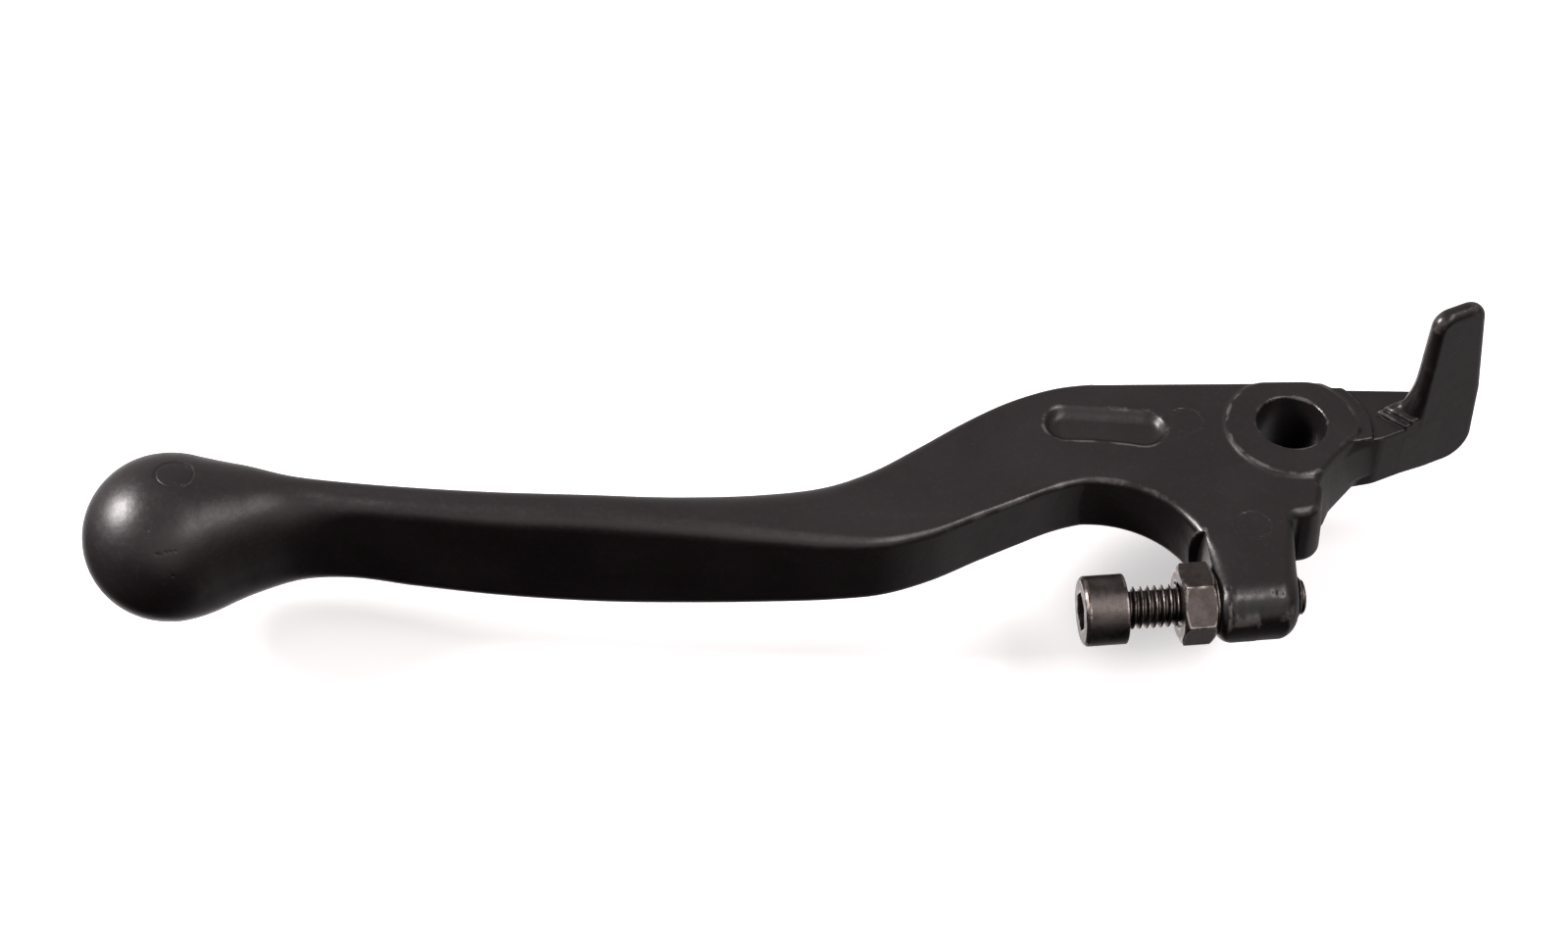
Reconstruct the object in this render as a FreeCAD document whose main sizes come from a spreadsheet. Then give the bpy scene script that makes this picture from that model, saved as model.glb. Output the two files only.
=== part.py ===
"""Hand lever for a hydraulic master cylinder, with its reach adjuster screw and lock nut.

Millimetres. The origin is at the middle of the pivot bore, +Z runs along the pivot axis, +X runs from
the ball end to the pivot, parallel to the adjuster screw, and -Y is the handlebar side.
"""
import FreeCAD, Part
import math
import os
import Sketcher
from FreeCAD import Placement, Rotation, Vector

PARTS_FOLDER = "parts"
X_AXIS = Vector(1, 0, 0)
Y_AXIS = Vector(0, 1, 0)
Z_AXIS = Vector(0, 0, 1)

# Driving dimensions, in millimetres and degrees, with what each one is.
SIZES = {
    "ball_position": (-160.85, "X of the ball end's centre"),
    "ball_side": (-2.6, "Y of the ball end's centre"),
    "ball_radius": (11.95, "radius of the ball end"),
    "plate_thickness": (10.4, "thickness of the web, ear and neck"),
    "plate_start": (-32.0, "X where the blade runs into the web"),
    "start_side": (10.95, "Y of the finger-side edge where the blade runs into the web"),
    "plate_edge_radius": (1.2, "rounding of the web's edges"),
    "web_far_side": (11.25, "Y of the web's finger-side corner"),
    "web_near_side": (-8.25, "Y of the web's bar-side edge"),
    "throat_radius": (15.0, "radius of the curve from the web down to the ear"),
    "boss_thickness": (11.4, "thickness over both faced bosses"),
    "boss_radius": (9.5, "radius of the faced bosses"),
    "boss_side": (-0.8, "Y of the faced bosses' centre"),
    "bore_radius": (5.0, "radius of the pivot bore"),
    "bore_chamfer": (0.3, "chamfer at both ends of the bore"),
    "relief_distance": (9.1, "pivot axis to the relieved wall, at mid-height"),
    "relief_angle": (48.0, "direction of the relieved wall in plan"),
    "relief_draft": (8.0, "slope of the relieved wall"),
    "ear_left": (-16.7, "X of the ear's cast face on the lock nut's side"),
    "spot_face": (-16.4, "X of the spot face under the lock nut"),
    "ear_right": (-4.7, "X of the ear's face at the screw's tip"),
    "ear_end_radius": (5.2, "rounding of the ear's end about its own axis"),
    "ear_end_side": (-28.3, "Y of the axis of the ear's rounded end"),
    "ear_rim_radius": (2.5, "rounding of the rims of the ear's end"),
    "spot_face_radius": (10.0, "radius of the spot face under the lock nut"),
    "screw_side": (-27.6, "Y of the adjuster screw's axis"),
    "hole_radius": (3.05, "radius of the tapped holes, thread not cut"),
    "recess_length": (17.2, "length of the oblong recess"),
    "recess_width": (6.8, "width of the oblong recess"),
    "recess_depth": (1.3, "depth of the oblong recess"),
    "recess_turn": (-9.7, "direction of the oblong recess in plan"),
    "recess_x": (-26.9, "X of the oblong recess's middle"),
    "recess_y": (2.4, "Y of the oblong recess's middle"),
    "neck_top": (4.9, "Z of the neck's top face"),
    "tab_corner_x": (12.7, "X of the corner between the neck and the relieved wall"),
    "tab_corner_y": (-3.5, "Y of that corner, which the tab's front face passes through"),
    "tab_turn": (20.0, "direction of the tab's plate in plan"),
    "tab_height": (25.7, "Z of the tab's rounded end"),
    "tab_thickness": (3.2, "thickness of the tab"),
    "tab_edge_radius": (1.1, "rounding of the tab's edges"),
    "pad_length": (4.0, "length of the low pad at the tab's root"),
    "pad_width": (4.4, "width of the low pad at the tab's root"),
    "pad_top": (6.2, "Z of the low pad's top"),
    "shank_radius": (2.95, "radius of the M6 screw's shank, thread not cut"),
    "screw_length": (25.0, "length of the screw under its head"),
    "screw_tip_chamfer": (0.7, "chamfer of the screw's tip"),
    "head_radius": (4.9, "radius of the screw's head"),
    "head_length": (6.0, "length of the screw's head"),
    "head_chamfer": (0.5, "chamfer of the head's outer edge"),
    "socket_flats": (5.0, "hexagon socket, across flats"),
    "socket_depth": (3.2, "depth of the hexagon socket"),
    "tip_reach": (-3.9, "X of the screw's tip"),
    "nut_flats": (10.0, "lock nut, across flats"),
    "nut_thickness": (5.0, "thickness of the lock nut"),
    "nut_chamfer": (0.55, "height of the nut's 30 degree chamfer at its corners"),
    "nut_turn": (-14.0, "turn of the lock nut about its axis"),
}

# The blade's cross-sections from the ball to the web: position along X, bar-side face, finger-side
# face, half height, rounding of the bar-side edges, and the depth along Y and the rise along Z of
# the elliptical rounding of the finger-side edges.
BLADE_STATIONS = (
    (-155.0, -12.8, 8.0, 11.0, 9.8, 10.2, 10.2),
    (-149.0, -10.05, 6.0, 9.9, 7.6, 8.1, 8.1),
    (-143.0, -7.7, 3.3, 9.1, 5.0, 5.6, 7.3),
    (-136.0, -7.0, 1.0, 8.75, 3.4, 4.4, 8.4),
    (-127.0, -8.8, -0.95, 9.0, 3.2, 4.3, 8.7),
    (-115.0, -11.3, -3.05, 9.3, 3.2, 4.6, 8.9),
    (-101.0, -13.5, -4.95, 9.5, 3.1, 5.0, 8.7),
    (-88.0, -15.4, -5.85, 8.7, 2.8, 5.8, 7.0),
    (-77.0, -16.9, -5.8, 7.7, 2.4, 5.8, 5.8),
    (-68.0, -17.9, -4.9, 6.8, 2.1, 4.8, 4.8),
    (-61.0, -18.0, -2.6, 6.2, 1.9, 3.6, 3.6),
    (-54.0, -16.4, 1.2, 5.7, 1.7, 2.6, 2.6),
    (-47.0, -13.5, 5.35, 5.4, 1.5, 2.0, 2.0),
    (-41.0, -11.1, 8.35, 5.25, 1.3, 1.5, 1.5),
    (-36.0, -9.1, 10.0, 5.2, 1.2, 1.2, 1.2),
)
# The round section that meets the ball has its four flats shrunk to arcs of this many degrees.
SHORT_ARC = 2.0
# The block that cuts the relief: where it begins along the wall, measured from the point nearest to
# the pivot, and its length, depth and height.
RELIEF_START = -7.1
RELIEF_BLOCK = (12.0, 12.0, 16.0)
# Distances under this count as none.
TINY = 1e-6
# How far cutting tools stand clear of the surface they cut from.
CLEARANCE = 2.0
STATION_FIELDS = ("position", "near", "far", "half", "near_round", "far_depth", "far_rise")
# The blade's last cross-section stays this far inside the web's outline.
SEAM_STEP = 0.04


def fill_sheet(document):
    """Write every driving dimension into the spreadsheet, one aliased cell each."""
    sheet = document.addObject("Spreadsheet::Sheet", "sizes")
    row = 0
    for alias, (value, meaning) in SIZES.items():
        row += 1
        sheet.set(f"A{row}", meaning)
        sheet.set(f"B{row}", str(value))
        sheet.setAlias(f"B{row}", alias)
    for number, station in enumerate(BLADE_STATIONS, 1):
        for field, value in zip(STATION_FIELDS, station):
            row += 1
            sheet.set(f"A{row}", f"blade section {number}, {field}")
            sheet.set(f"B{row}", str(value))
            sheet.setAlias(f"B{row}", f"blade{number}_{field}")
    document.recompute()
    return sheet


def bind(target, **expressions):
    """Bind properties of an object to expressions over the sheet's aliases."""
    for path, expression in expressions.items():
        target.setExpression(path.replace("__", "."), expression)


def rounded_outline(corners):
    """A closed wire in the XY plane through (x, y, radius) corners, each rounded by its radius."""
    starts = []
    ends = []
    arcs = []
    for index, (x, y, radius) in enumerate(corners):
        here = Vector(x, y, 0)
        before = Vector(*corners[index - 1][:2], 0)
        after = Vector(*corners[(index + 1) % len(corners)][:2], 0)
        back = (before - here).normalize()
        ahead = (after - here).normalize()
        half_angle = back.getAngle(ahead) / 2
        setback = radius / math.tan(half_angle)
        starts.append(here + back * setback)
        ends.append(here + ahead * setback)
        middle = here + (back + ahead).normalize() * (radius / math.sin(half_angle) - radius)
        arcs.append(Part.Arc(starts[-1], middle, ends[-1]).toShape() if radius else None)
    edges = []
    for index, arc in enumerate(arcs):
        if arc:
            edges.append(arc)
        following = (index + 1) % len(corners)
        if ends[index].distanceToPoint(starts[following]) > TINY:
            edges.append(Part.makeLine(ends[index], starts[following]))
    return Part.Wire(Part.__sortEdges__(edges))


def standing_wire(wire, position):
    """Turn a wire drawn in (Y, Z) coordinates on the XY plane into the plane X = position."""
    turned = wire.copy()
    turned.Placement = Placement(Vector(position, 0, 0), Rotation(Vector(1, 1, 1), 120))
    return turned


def quarter_arc(start, y, z, depth, rise):
    """A quarter of an ellipse about (y, z), from an angle in degrees, drawn on the XY plane."""
    if depth == rise:
        curve = Part.Circle(Vector(y, z, 0), Z_AXIS, depth)
    else:
        curve = Part.Ellipse(Vector(y, z + rise, 0), Vector(y - depth, z, 0), Vector(y, z, 0))
        start -= 90
    return curve.toShape(math.radians(start), math.radians(start + 90))


def blade_section(position, near, far, half, near_round, far_depth, far_rise):
    """One upright cross-section of the blade: flat to the handlebar, elliptical to the fingers."""
    arcs = (
        quarter_arc(180, near + near_round, near_round - half, near_round, near_round),
        quarter_arc(270, far - far_depth, far_rise - half, far_depth, far_rise),
        quarter_arc(360, far - far_depth, half - far_rise, far_depth, far_rise),
        quarter_arc(450, near + near_round, half - near_round, near_round, near_round),
    )
    edges = []
    for index, arc in enumerate(arcs):
        following = arcs[(index + 1) % len(arcs)]
        start = arc.valueAt(arc.LastParameter)
        end = following.valueAt(following.FirstParameter)
        edges += [arc, Part.makeLine(start, end)]
    return standing_wire(Part.Wire(edges), position)


def round_section(position, side, radius):
    """The circle where the blade meets the ball, split like the other sections' eight edges."""
    circle = Part.Circle(Vector(side, 0, 0), Z_AXIS, radius)
    edges = []
    for corner in (225, 315, 45, 135):
        stops = [math.radians(corner + turn) for turn in (-45, 45, 45)]
        stops[0] += math.radians(SHORT_ARC / 2)
        stops[1] -= math.radians(SHORT_ARC / 2)
        stops[2] += math.radians(SHORT_ARC / 2)
        edges.append(circle.toShape(stops[0], stops[1]))
        edges.append(circle.toShape(stops[1], stops[2]))
    return standing_wire(Part.Wire(edges), position)


def blade_shape(sheet):
    """The blade, lofted through its cross-sections from the ball up to the web."""
    edge = sheet.plate_edge_radius
    half_plate = sheet.plate_thickness / 2 - SEAM_STEP
    near_side = sheet.web_near_side + SEAM_STEP
    far_side = sheet.start_side - SEAM_STEP
    sections = [round_section(sheet.ball_position, sheet.ball_side, sheet.ball_radius)]
    for number in range(1, len(BLADE_STATIONS) + 1):
        sections.append(blade_section(*(getattr(sheet, f"blade{number}_{f}") for f in STATION_FIELDS)))
    sections.append(
        blade_section(sheet.plate_start, near_side, far_side, half_plate, edge, edge, edge)
    )
    return Part.makeLoft(sections, True, False)


def edges_on_planes(shape, heights, skip):
    """The edges that lie wholly at one of the heights, apart from those that skip() rejects."""
    found = []
    for edge in shape.Edges:
        levels = [vertex.Z for vertex in edge.Vertexes]
        flat = any(all(abs(z - height) < TINY for z in levels) for height in heights)
        if flat and not skip(edge):
            found.append(edge)
    return found


def web_shape(sheet):
    """The flat web: shoulder, throat and the ear down to the axis of its rounded end."""
    near = sheet.web_near_side
    end = sheet.ear_end_side
    start = sheet.plate_start
    corners = (
        (start, sheet.start_side, 0),
        (start + 4.5, sheet.web_far_side, 12.0),
        (9.9, 8.9, 8.8),
        (9.9, -3.9, 1.0),
        (2.8, -11.9, 1.0),
        (0.9, -17.4, 2.4),
        (-3.1, -17.2, 1.5),
        (sheet.ear_right, end, 0),
        (sheet.ear_left, end, 0),
        (sheet.ear_left, near, sheet.throat_radius),
        (start, near, 0),
    )
    half = sheet.plate_thickness / 2
    face = Part.Face(rounded_outline(corners))
    prism = face.extrude(Z_AXIS * sheet.plate_thickness)
    prism.translate(Z_AXIS * -half)

    def at_a_joint(edge):
        box = edge.BoundBox
        at_blade = box.XMax < start + TINY
        at_ear_end = box.YMax < end + TINY
        return at_blade or at_ear_end

    rims = edges_on_planes(prism, (half, -half), at_a_joint)
    return prism.makeFillet(sheet.plate_edge_radius, rims)


def ear_end_shape(sheet):
    """The ear's rounded end, a short bar across the ear with rounded rims."""
    radius = sheet.ear_end_radius
    length = sheet.ear_right - sheet.ear_left
    foot = Vector(sheet.ear_left, sheet.ear_end_side, 0)
    bar = Part.makeCylinder(radius, length, foot, X_AXIS)
    rims = [edge for edge in bar.Edges if edge.BoundBox.XLength < TINY]
    return bar.makeFillet(sheet.ear_rim_radius, rims)


def neck_shape(sheet):
    """The neck that carries the tab, from the boss to behind the tab."""
    half = sheet.plate_thickness / 2
    corners = (
        (4.0, 7.0, 0),
        (20.2, 5.2, 2.0),
        (23.4, 2.4, 0),
        (22.0, -0.12, 0),
        (sheet.tab_corner_x, sheet.tab_corner_y, 3.0),
        (4.0, -3.4, 0),
    )
    prism = Part.Face(rounded_outline(corners)).extrude(Z_AXIS * (sheet.neck_top + half))
    prism.translate(Z_AXIS * -half)
    return prism


def tab_shape(sheet):
    """The upright tab: a rounded plate drawn in its own plane and turned into place."""
    half = sheet.plate_thickness / 2
    top = sheet.tab_height
    corners = (
        (0.0, -half, 0),
        (17.4, -half - 0.3, 4.6),
        (16.6, 8.0, 8.0),
        (13.6, top, 3.0),
        (6.4, top, 3.2),
        (5.9, sheet.neck_top, 2.5),
        (0.0, sheet.neck_top, 0),
    )
    thick = sheet.tab_thickness
    plate = Part.Face(rounded_outline(corners)).extrude(Z_AXIS * -thick)
    rims = edges_on_planes(plate, (0, -thick), lambda edge: edge.BoundBox.XMax < TINY)
    plate = plate.makeFillet(sheet.tab_edge_radius, rims)
    upright = Placement(Vector(0, 0, 0), Rotation(X_AXIS, 90))
    corner = Vector(sheet.tab_corner_x, sheet.tab_corner_y, 0)
    turned = Placement(corner, Rotation(Z_AXIS, sheet.tab_turn))
    plate.Placement = turned.multiply(upright)
    return plate


def add_shape(document, name, shape):
    """A document object that holds a shape built by function."""
    feature = document.addObject("Part::Feature", name)
    feature.Shape = shape
    return feature


def add_cylinder(document, name, radius, height, placement):
    """A cylinder whose radius and height are expressions over the sheet."""
    cylinder = document.addObject("Part::Cylinder", name)
    bind(cylinder, Radius=radius, Height=height)
    cylinder.Placement = placement
    return cylinder


def fuse(document, name, shapes):
    """A fusion of several objects."""
    union = document.addObject("Part::MultiFuse", name)
    union.Shapes = shapes
    return union


def along_x(x, y, z):
    """A placement that lays an object's own Z axis along +X."""
    return Placement(Vector(x, y, z), Rotation(Y_AXIS, 90))


def make_casting(document, sheet):
    """The casting before it is drilled: ball, blade, web, boss, ear, neck, tab and their root pad."""
    ball = document.addObject("Part::Sphere", "ball_end")
    ball.Angle1 = 0
    ball.Placement = Placement(Vector(0, 0, 0), Rotation(Y_AXIS, -90))
    bind(ball, Radius="sizes.ball_radius", Placement__Base__x="sizes.ball_position")
    bind(ball, Placement__Base__y="sizes.ball_side")
    blade = add_shape(document, "blade", blade_shape(sheet))
    web = add_shape(document, "web", web_shape(sheet))
    neck = add_shape(document, "neck", neck_shape(sheet))
    tab = add_shape(document, "tab", tab_shape(sheet))

    boss = add_cylinder(
        document, "boss", "sizes.boss_radius", "sizes.boss_thickness", Placement()
    )
    bind(boss, Placement__Base__y="sizes.boss_side", Placement__Base__z="-sizes.boss_thickness / 2")
    ear_end = add_shape(document, "ear_end", ear_end_shape(sheet))

    root = document.addObject("Part::Box", "root_pad")
    root.Placement = Placement(Vector(14.6, -1.6, 0), Rotation(Z_AXIS, sheet.tab_turn))
    bind(root, Length="sizes.pad_length", Width="sizes.pad_width", Height="sizes.pad_top")

    return fuse(document, "casting", [ball, blade, web, boss, ear_end, neck, tab, root])


def make_relief(document, sheet):
    """The sloping block that relieves the wall between the boss and the neck, wider at its foot."""
    length, depth, height = RELIEF_BLOCK
    block = document.addObject("Part::Box", "wall_relief")
    block.Length = length
    block.Width = depth
    block.Height = height
    turn = Rotation(Z_AXIS, sheet.relief_angle)
    slope = Rotation(X_AXIS, -sheet.relief_draft)
    tilted = turn.multiply(slope)
    foot = turn.multVec(Vector(0, -sheet.relief_distance, 0))
    corner = tilted.multVec(Vector(RELIEF_START, -depth, -height / 2))
    block.Placement = Placement(foot + corner, tilted)
    return block


def make_drilling(document, sheet):
    """Everything that is cut out of the casting: bore, chamfers, tapped hole, spot face, recess."""
    bore = add_cylinder(
        document, "bore", "sizes.bore_radius", f"sizes.boss_thickness + {2 * CLEARANCE}", Placement()
    )
    bind(bore, Placement__Base__z=f"-sizes.boss_thickness / 2 - {CLEARANCE}")

    chamfers = []
    for name, side in (("upper_chamfer", 1), ("lower_chamfer", -1)):
        cone = document.addObject("Part::Cone", name)
        bind(cone, Radius1="sizes.bore_radius", Radius2="sizes.bore_radius + 2 * sizes.bore_chamfer")
        bind(cone, Height="2 * sizes.bore_chamfer")
        level = sheet.boss_thickness / 2 - sheet.bore_chamfer
        cone.Placement = Placement(Vector(0, 0, side * level), Rotation(X_AXIS, 0 if side > 0 else 180))
        chamfers.append(cone)

    tapped = add_cylinder(
        document, "tapped_hole", "sizes.hole_radius", "20 mm", along_x(-20, sheet.screw_side, 0)
    )
    spot_face = add_cylinder(
        document, "spot_face", "sizes.spot_face_radius", f"{CLEARANCE}", along_x(0, sheet.screw_side, 0)
    )
    bind(spot_face, Placement__Base__x=f"sizes.spot_face - {CLEARANCE}")

    turn = Rotation(Z_AXIS, sheet.recess_turn)
    middle = Vector(sheet.recess_x, sheet.recess_y, 0)
    floor = Vector(0, 0, sheet.plate_thickness / 2 - sheet.recess_depth)
    run = sheet.recess_length - sheet.recess_width
    slot = document.addObject("Part::Box", "recess_slot")
    bind(slot, Length="sizes.recess_length - sizes.recess_width", Width="sizes.recess_width")
    bind(slot, Height="sizes.recess_depth + 1")
    corner = turn.multVec(Vector(-run / 2, -sheet.recess_width / 2, 0))
    slot.Placement = Placement(middle + floor + corner, turn)
    ends = []
    for name, side in (("recess_left", -1), ("recess_right", 1)):
        centre = middle + floor + turn.multVec(Vector(side * run / 2, 0, 0))
        ends.append(
            add_cylinder(
                document, name, "sizes.recess_width / 2", "sizes.recess_depth + 1", Placement(centre, turn)
            )
        )
    relief = make_relief(document, sheet)
    tools = [bore, *chamfers, tapped, spot_face, slot, *ends, relief]
    return fuse(document, "drilling", tools)


def make_lever(document, sheet):
    """The finished lever: the casting less everything that is machined out of it."""
    casting = make_casting(document, sheet)
    drilling = make_drilling(document, sheet)
    lever = document.addObject("Part::Cut", "lever")
    lever.Base = casting
    lever.Tool = drilling
    lever.Label = "lever"
    return lever


def origin_plane(body, role):
    """The body's own origin plane with this role."""
    for feature in body.Origin.OriginFeatures:
        if feature.Role == role:
            return feature
    raise RuntimeError(f"{body.Name} has no {role}")


def new_body(document, name):
    """An empty body labelled with its node's name."""
    body = document.addObject("PartDesign::Body", name)
    body.Label = name
    return body


def new_sketch(body, name, role):
    """An empty sketch on one of the body's origin planes."""
    sketch = body.newObject("Sketcher::SketchObject", name)
    sketch.AttachmentSupport = (origin_plane(body, role), [""])
    sketch.MapMode = "FlatFace"
    return sketch


def circle_sketch(body, name, alias, offset_expression=None):
    """A sketch of one circle about the body's axis, its radius bound to the sheet."""
    sketch = new_sketch(body, name, "XY_Plane")
    sketch.addGeometry(Part.Circle(Vector(0, 0, 0), Z_AXIS, 1.0), False)
    sketch.addConstraint(Sketcher.Constraint("Coincident", 0, 3, -1, 1))
    sketch.addConstraint(Sketcher.Constraint("Radius", 0, 1.0))
    sketch.renameConstraint(1, "radius")
    sketch.setExpression("Constraints.radius", f"sizes.{alias}")
    if offset_expression:
        sketch.setExpression("AttachmentOffset.Base.z", offset_expression)
    return sketch


def hexagon_sketch(body, name, alias):
    """A sketch of a hexagon about the body's axis, its width across flats bound to the sheet."""
    sketch = new_sketch(body, name, "XY_Plane")
    points = [
        Vector(math.cos(math.radians(60 * k)), math.sin(math.radians(60 * k)), 0) for k in range(6)
    ]
    for index, point in enumerate(points):
        sketch.addGeometry(Part.LineSegment(point, points[(index + 1) % 6]), False)
    sketch.addGeometry(Part.Circle(Vector(0, 0, 0), Z_AXIS, 1.0), True)
    for index in range(6):
        sketch.addConstraint(Sketcher.Constraint("Coincident", index, 2, (index + 1) % 6, 1))
        sketch.addConstraint(Sketcher.Constraint("PointOnObject", index, 1, 6))
    for index in range(5):
        sketch.addConstraint(Sketcher.Constraint("Equal", index, index + 1))
    sketch.addConstraint(Sketcher.Constraint("Coincident", 6, 3, -1, 1))
    sketch.addConstraint(Sketcher.Constraint("PointOnObject", 0, 1, -1))
    number = sketch.addConstraint(Sketcher.Constraint("Radius", 6, 1.0))
    sketch.renameConstraint(number, "corner_radius")
    sketch.setExpression("Constraints.corner_radius", f"sizes.{alias} / sqrt(3)")
    return sketch


def pad(body, name, sketch, length):
    """A pad of a sketch, its length an expression over the sheet."""
    feature = body.newObject("PartDesign::Pad", name)
    feature.Profile = sketch
    feature.setExpression("Length", length)
    sketch.Visibility = False
    return feature


def pocket(body, name, sketch, length, reverse):
    """A pocket of a sketch, its depth an expression over the sheet."""
    before = body.Shape.Volume
    feature = body.newObject("PartDesign::Pocket", name)
    feature.Profile = sketch
    feature.Reversed = reverse
    feature.setExpression("Length", length)
    body.Document.recompute()
    if body.Shape.Volume >= before:
        raise RuntimeError(f"{name} cut nothing")
    return feature


def chamfer(body, name, base, edges, size):
    """A chamfer of a feature's edges, its size an expression over the sheet."""
    feature = body.newObject("PartDesign::Chamfer", name)
    feature.Base = (base, edges)
    feature.setExpression("Size", size)
    body.Document.recompute()
    return feature


def circular_edges(shape, level, radius):
    """The names of the full circles of this radius at this height on the body's own axis."""
    names = []
    for index, edge in enumerate(shape.Edges, 1):
        curve = edge.Curve
        if not isinstance(curve, Part.Circle):
            continue
        if abs(curve.Radius - radius) < TINY and abs(curve.Center.z - level) < TINY:
            names.append(f"Edge{index}")
    return names


def make_screw(document, sheet):
    """The M6 socket head adjuster screw, standing on its head along its own Z axis."""
    body = new_body(document, "adjuster_screw")
    head = pad(body, "head", circle_sketch(body, "head_circle", "head_radius"), "sizes.head_length")
    document.recompute()
    shank_circle = circle_sketch(body, "shank_circle", "shank_radius", "sizes.head_length")
    pad(body, "shank", shank_circle, "sizes.screw_length")
    document.recompute()
    socket = hexagon_sketch(body, "socket_hexagon", "socket_flats")
    document.recompute()
    cut = pocket(body, "socket", socket, "sizes.socket_depth", True)
    rim = circular_edges(cut.Shape, 0, sheet.head_radius)
    rounded = chamfer(body, "head_chamfer", cut, rim, "sizes.head_chamfer")
    end = sheet.head_length + sheet.screw_length
    tip = circular_edges(rounded.Shape, end, sheet.shank_radius)
    chamfer(body, "tip_chamfer", rounded, tip, "sizes.screw_tip_chamfer")
    body.Placement = along_x(0, 0, 0)
    bind(body, Placement__Base__x="sizes.tip_reach - sizes.screw_length - sizes.head_length")
    bind(body, Placement__Base__y="sizes.screw_side")
    return body


def make_nut(document, sheet):
    """The M6 lock nut, corner chamfered on both faces, standing along its own Z axis."""
    body = new_body(document, "lock_nut")
    hexagon = hexagon_sketch(body, "nut_hexagon", "nut_flats")
    pad(body, "nut_block", hexagon, "sizes.nut_thickness")
    document.recompute()
    cut_nut_corners(body, sheet)
    bore = circle_sketch(body, "nut_bore_circle", "hole_radius")
    document.recompute()
    pocket(body, "nut_bore", bore, "sizes.nut_thickness", True)
    turn = Placement(Vector(0, 0, 0), Rotation(Z_AXIS, sheet.nut_turn))
    body.Placement = along_x(0, 0, 0).multiply(turn)
    bind(body, Placement__Base__x="sizes.spot_face - sizes.nut_thickness")
    bind(body, Placement__Base__y="sizes.screw_side")
    return body


def cut_nut_corners(body, sheet):
    """Take the corners off both faces of the nut with revolved 30 degree cuts."""
    document = body.Document
    corner = sheet.nut_flats / math.sqrt(3)
    outer = corner + CLEARANCE
    inner = corner - sheet.nut_chamfer * math.sqrt(3)
    for name, level, inward in (("lower", 0.0, 1), ("upper", sheet.nut_thickness, -1)):
        sketch = new_sketch(body, f"{name}_corner_profile", "XZ_Plane")
        points = (
            Vector(inner, level, 0),
            Vector(outer, level, 0),
            Vector(outer, level + inward * (outer - inner) / math.sqrt(3), 0),
        )
        for index, point in enumerate(points):
            sketch.addGeometry(Part.LineSegment(point, points[(index + 1) % 3]), False)
        for index in range(3):
            sketch.addConstraint(Sketcher.Constraint("Coincident", index, 2, (index + 1) % 3, 1))
        document.recompute()
        before = body.Shape.Volume
        groove = body.newObject("PartDesign::Groove", f"{name}_corner_cut")
        groove.Profile = sketch
        groove.ReferenceAxis = (sketch, ["V_Axis"])
        groove.Angle = 360
        document.recompute()
        if body.Shape.Volume >= before:
            raise RuntimeError(f"{name} corner cut removed nothing")


def check(document, nodes):
    """Stop if any object failed or any sub-part's shape is missing or broken."""
    for item in document.Objects:
        if "Invalid" in item.State or "Error" in item.State:
            raise RuntimeError(f"{item.Name} is {item.State}")
    for node in nodes:
        if node.Shape.isNull() or not node.Shape.isValid():
            raise RuntimeError(f"{node.Label} has no valid shape")


def main():
    document = FreeCAD.newDocument("hand_lever")
    sheet = fill_sheet(document)
    nodes = [
        make_lever(document, sheet),
        make_screw(document, sheet),
        make_nut(document, sheet),
    ]
    document.recompute()
    check(document, nodes)
    os.makedirs(PARTS_FOLDER, exist_ok=True)
    for node in nodes:
        node.Shape.exportStep(os.path.join(PARTS_FOLDER, f"{node.Label}.step"))
        box = node.Shape.BoundBox
        print(node.Label, len(node.Shape.Solids), round(node.Shape.Volume, 1), box)


main()
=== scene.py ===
"""Looks of the hand lever: a die-cast, satin black lever with a black oxide adjuster screw and nut.

The three pieces are signed distance fields, meshed finely, so that every edge, draft and fillet is
real geometry. Lengths are millimetres in the frame's axes until a mesh is made, then metres.
"""
import math

import bpy
import numpy as np
import openvdb
from mathutils import Matrix, Vector


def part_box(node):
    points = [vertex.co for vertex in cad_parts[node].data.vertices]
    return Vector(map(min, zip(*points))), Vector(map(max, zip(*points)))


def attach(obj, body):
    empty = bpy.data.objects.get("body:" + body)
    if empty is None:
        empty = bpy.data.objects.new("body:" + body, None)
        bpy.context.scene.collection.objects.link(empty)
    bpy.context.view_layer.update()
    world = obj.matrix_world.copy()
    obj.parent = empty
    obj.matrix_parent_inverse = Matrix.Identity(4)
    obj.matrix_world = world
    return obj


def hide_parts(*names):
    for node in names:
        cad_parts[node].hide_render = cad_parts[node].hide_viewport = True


MM = 0.001
VOXEL = 0.25
FASTENER_VOXEL = VOXEL * 0.45
FAR_AWAY = 1e9

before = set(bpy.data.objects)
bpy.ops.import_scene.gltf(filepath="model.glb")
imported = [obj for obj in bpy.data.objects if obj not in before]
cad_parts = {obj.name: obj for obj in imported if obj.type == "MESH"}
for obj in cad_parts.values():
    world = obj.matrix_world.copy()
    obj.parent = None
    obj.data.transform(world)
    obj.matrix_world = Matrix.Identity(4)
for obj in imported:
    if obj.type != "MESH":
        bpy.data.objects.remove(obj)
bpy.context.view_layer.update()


# ---------------------------------------------------------------- distance fields

def soft_or(a, b, r):
    """Union with a concave fillet of radius r."""
    corner = np.hypot(np.maximum(r - a, 0), np.maximum(r - b, 0))
    return np.maximum(r, np.minimum(a, b)) - corner


def soft_and(a, b, r):
    """Intersection with a convex rounding of radius r."""
    return -soft_or(-a, -b, r)


def smooth(t):
    """A smooth step of a value that runs from 0 to 1."""
    return t * t * (3 - 2 * t)


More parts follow.
